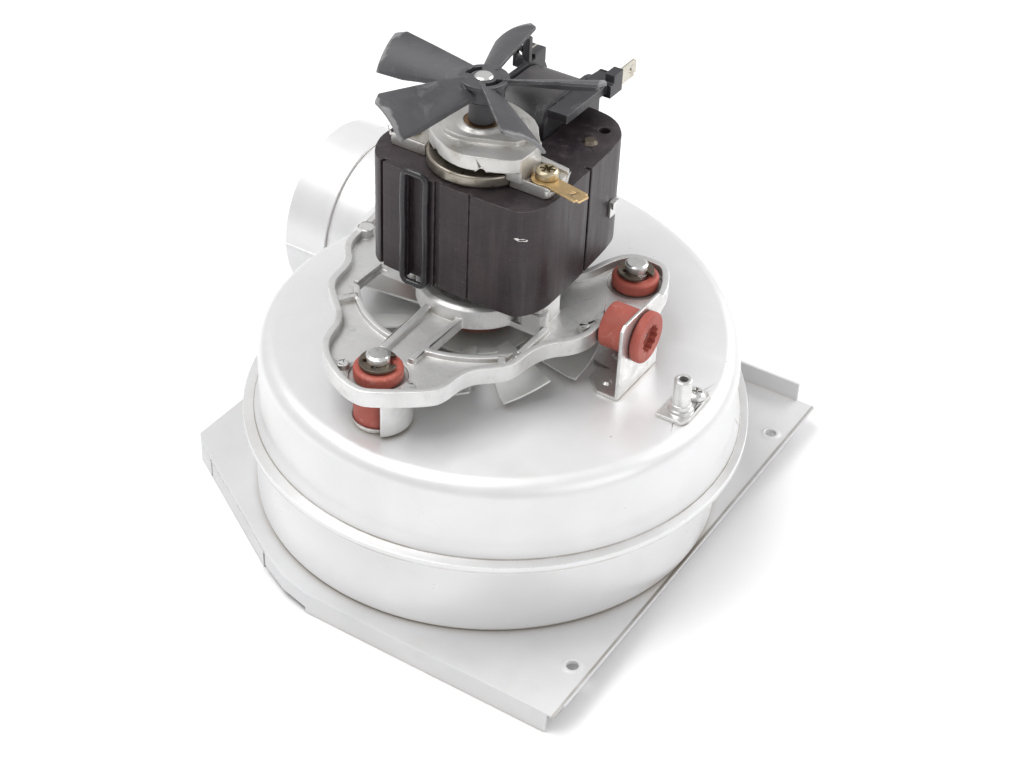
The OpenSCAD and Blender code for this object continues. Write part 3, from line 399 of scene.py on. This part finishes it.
def smoothing_tree():
    """Geometry nodes that drop the imported normals and shade smooth up to SMOOTH_UP_TO."""
    tree = bpy.data.node_groups.new("smooth_by_angle", "GeometryNodeTree")
    tree.interface.new_socket("Geometry", in_out="INPUT", socket_type="NodeSocketGeometry")
    tree.interface.new_socket("Geometry", in_out="OUTPUT", socket_type="NodeSocketGeometry")
    enter = tree.nodes.new("NodeGroupInput")
    leave = tree.nodes.new("NodeGroupOutput")
    drop = tree.nodes.new("GeometryNodeRemoveAttribute")
    drop.inputs["Name"].default_value = "custom_normal"
    faces = tree.nodes.new("GeometryNodeSetShadeSmooth")
    faces.domain = "FACE"
    edges = tree.nodes.new("GeometryNodeSetShadeSmooth")
    edges.domain = "EDGE"
    angle = tree.nodes.new("GeometryNodeInputMeshEdgeAngle")
    below = tree.nodes.new("FunctionNodeCompare")
    below.operation = "LESS_EQUAL"
    below.inputs["B"].default_value = SMOOTH_UP_TO
    tree.links.new(angle.outputs["Unsigned Angle"], below.inputs["A"])
    tree.links.new(enter.outputs[0], drop.inputs["Geometry"])
    tree.links.new(drop.outputs["Geometry"], faces.inputs["Geometry"])
    tree.links.new(faces.outputs["Geometry"], edges.inputs["Geometry"])
    tree.links.new(below.outputs["Result"], edges.inputs["Shade Smooth"])
    tree.links.new(edges.outputs["Geometry"], leave.inputs[0])
    return tree


smooth_by_angle = smoothing_tree()


def soften(obj, width):
    """Rounds the corners of a CAD node by width, with modifiers only."""
    weld = obj.modifiers.new("weld", "WELD")
    weld.merge_threshold = WELD_WITHIN
    round_over = obj.modifiers.new("round_over", "BEVEL")
    round_over.width = width
    round_over.segments = 2
    round_over.limit_method = "ANGLE"
    round_over.angle_limit = BEVEL_FROM
    round_over.use_clamp_overlap = False
    smooth = obj.modifiers.new("smooth", "NODES")
    smooth.node_group = smooth_by_angle
    even = obj.modifiers.new("even", "WEIGHTED_NORMAL")
    even.keep_sharp = True


# Corner width in millimetres, with the nodes that share it.
EDGES = {
    0.12: ["coil_terminals", "stack_clip"],
    0.15: ["bridge_screws", "nipple_screw", "cup_washers", "e_clips", "cooling_fan", "grommets"],
    0.2: ["lower_casing", "earth_tab", "mounting_pins", "top_fan", "bearing_ring", "inlet_ring",
          "seal_plate", "side_grommet"],
    0.25: ["upper_casing"],
    0.3: ["base_plate", "outlet_collar", "stator_stack", "pressure_nipple", "coil_bobbin",
          "cooling_fan_hub"],
    0.35: ["side_bracket"],
    0.45: ["motor_plate"],
    0.5: ["upper_bridge"],
    0.8: ["coil_winding"],
}
for width, names in EDGES.items():
    for name in names:
        soften(nodes[name], width * MM)

# ---------------------------------------------------------------- pieces built here


def new_piece(name, mesh, material, body):
    """Makes the bmesh an object that rides on body."""
    bmesh.ops.recalc_face_normals(mesh, faces=mesh.faces)
    data = bpy.data.meshes.new(name)
    mesh.to_mesh(data)
    mesh.free()
    piece = bpy.data.objects.new(name, data)
    scene.collection.objects.link(piece)
    data.materials.append(material)
    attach(piece, body)
    return piece


def swept_wire(path, radius, sides=14):
    """A closed round wire along path, built as a tube of quads."""
    mesh = bmesh.new()
    rings = []
    for i, point in enumerate(path):
        along = (path[(i + 1) % len(path)] - path[i - 1]).normalized()
        across = Vector((0, 1, 0)).cross(along).normalized()
        out = along.cross(across)
        turns = [math.tau * k / sides for k in range(sides)]
        rings.append([mesh.verts.new(point + radius * (across * math.cos(a) + out * math.sin(a)))
                      for a in turns])
    for i, near in enumerate(rings):
        far = rings[(i + 1) % len(rings)]
        for k in range(sides):
            after = (k + 1) % sides
            mesh.faces.new((near[k], near[after], far[after], far[k])).smooth = True
    return mesh


def loop_path(low, high, wire):
    """Middle line of a wire loop with round corners that fills the box low..high, facing Y."""
    corner = 2.2 * MM
    corner_steps = 8
    piece_length = 1.5 * MM
    hand_bent = 0.12 * MM
    left, right_side = low.x + wire + corner, high.x - wire - corner
    foot, head = low.z + wire + corner, high.z - wire - corner
    outline = []
    centres = [(right_side, head), (left, head), (left, foot), (right_side, foot)]
    for quarter, (x, z) in enumerate(centres):
        for step in range(corner_steps + 1):
            a = math.radians(90 * (quarter + step / corner_steps))
            outline.append((x + corner * math.cos(a), z + corner * math.sin(a)))
    path = []
    for i, (x, z) in enumerate(outline):
        next_x, next_z = outline[(i + 1) % len(outline)]
        count = max(1, int(math.hypot(next_x - x, next_z - z) / piece_length))
        for k in range(count):
            at_x = x + (next_x - x) * k / count
            at_z = z + (next_z - z) * k / count
            sway = hand_bent * math.sin(at_z * 260 + at_x * 90)
            path.append(Vector((at_x + sway, low.y + wire + 0.05 * MM, at_z)))
    return path


def lacquer_chip(stack, across, height, outline):
    """A thin flake on the front of the stack, centred at the given fractions of its box."""
    proud, sunk = 0.09 * MM, 0.15 * MM
    low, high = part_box("stator_stack")
    middle_x = low.x + across * (high.x - low.x)
    middle_z = low.z + height * (high.z - low.z)
    to_world = stack.matrix_world
    to_local = to_world.inverted()
    mesh = bmesh.new()
    outer, inner = [], []
    for x, z in outline:
        start = Vector((middle_x + x * MM, low.y - 5 * MM, middle_z + z * MM))
        _, at, normal, _ = stack.ray_cast(to_local @ start, to_local.to_3x3() @ Vector((0, 1, 0)))
        at = to_world @ at
        normal = (to_world.to_3x3() @ normal).normalized()
        outer.append(mesh.verts.new(at + proud * normal))
        inner.append(mesh.verts.new(at - sunk * normal))
    mesh.faces.new(outer)
    mesh.faces.new(inner[::-1])
    for i in range(len(outline)):
        j = (i + 1) % len(outline)
        mesh.faces.new((outer[j], outer[i], inner[i], inner[j]))
    return mesh


WIRE = 1.1 * MM
wire_mesh = swept_wire(loop_path(*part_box("shading_rings"), WIRE), WIRE)
wire_loop = new_piece("shading_loop_wire", wire_mesh, own_finish["shading_rings"],
                      "housing")
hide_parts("shading_rings")

# A chip in the stack's lacquer, near its right front corner. The outline is in millimetres.
CHIP = [(-1.9, 0.5), (-0.9, 0.75), (-0.1, 0.4), (0.6, 0.5), (1.7, -0.2),
        (1.5, -0.7), (0.5, -0.4), (-0.4, -0.35), (-1.1, 0.0)]
bare_steel = sheet_metal("bare_lamination", (0.86, 0.84, 0.82), (0.70, 0.68, 0.66),
                         0.1, 0.5, (0.42, 0.38, 0.34), 0.2, corner_dirt_and_shade=0.0)
chip_mesh = lacquer_chip(nodes["stator_stack"], 0.925, 0.74, CHIP)
new_piece("lacquer_chip", chip_mesh, bare_steel, "housing")

# ---------------------------------------------------------------- floor

FLOOR_GAP = 0.1 * MM
floor_z = cad_box[0].z - FLOOR_GAP
bpy.ops.mesh.primitive_plane_add(size=6, location=(0, 0, floor_z))
floor = bpy.context.object
floor.name = "floor"
paper = Shader("paper", Specular_IOR_Level=0.15)
paper_tone = paper.mix(paper.noise(6, 3), (0.93, 0.93, 0.94), (0.95, 0.95, 0.95))
paper_gloss = paper.span(paper.noise(40, 3), 0.3, 0.7, 0.75, 0.9)
floor.data.materials.append(paper.finish(paper_tone, paper_gloss))
